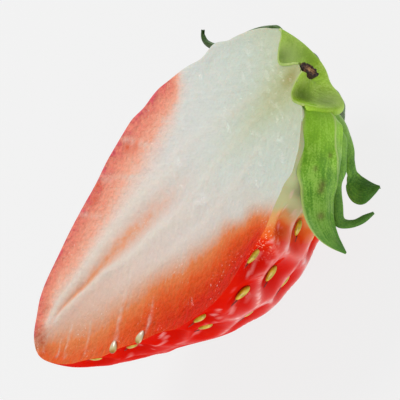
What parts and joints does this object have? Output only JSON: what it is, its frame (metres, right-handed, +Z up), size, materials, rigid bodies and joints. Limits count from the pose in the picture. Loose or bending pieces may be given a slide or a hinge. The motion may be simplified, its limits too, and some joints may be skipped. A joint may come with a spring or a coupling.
{
  "type": "strawberry half",
  "caption": "Ripe strawberry half cut lengthwise, lying on its skin with the cut face up and its green calyx still on.",
  "frame": {"origin": "middle of the part's box, at the level of the surface that it lies on", "axes": "+X runs lengthwise from the tip to the stem end, +Z is up, square to the cut face, and +Y is to the left when looking along +X"},
  "size_m": [0.042, 0.0306, 0.0128],
  "materials": {
    "ripe_flesh": "wet flesh and glossy red skin with golden achenes",
    "sepal_green": "fresh green leaf, faintly hairy and veined",
    "dried_stalk": "dry and torn"
  },
  "bodies": {
    "root": {"berry": "ripe_flesh", "calyx": "sepal_green", "stem_stub": "dried_stalk"}
  },
  "joints": []
}
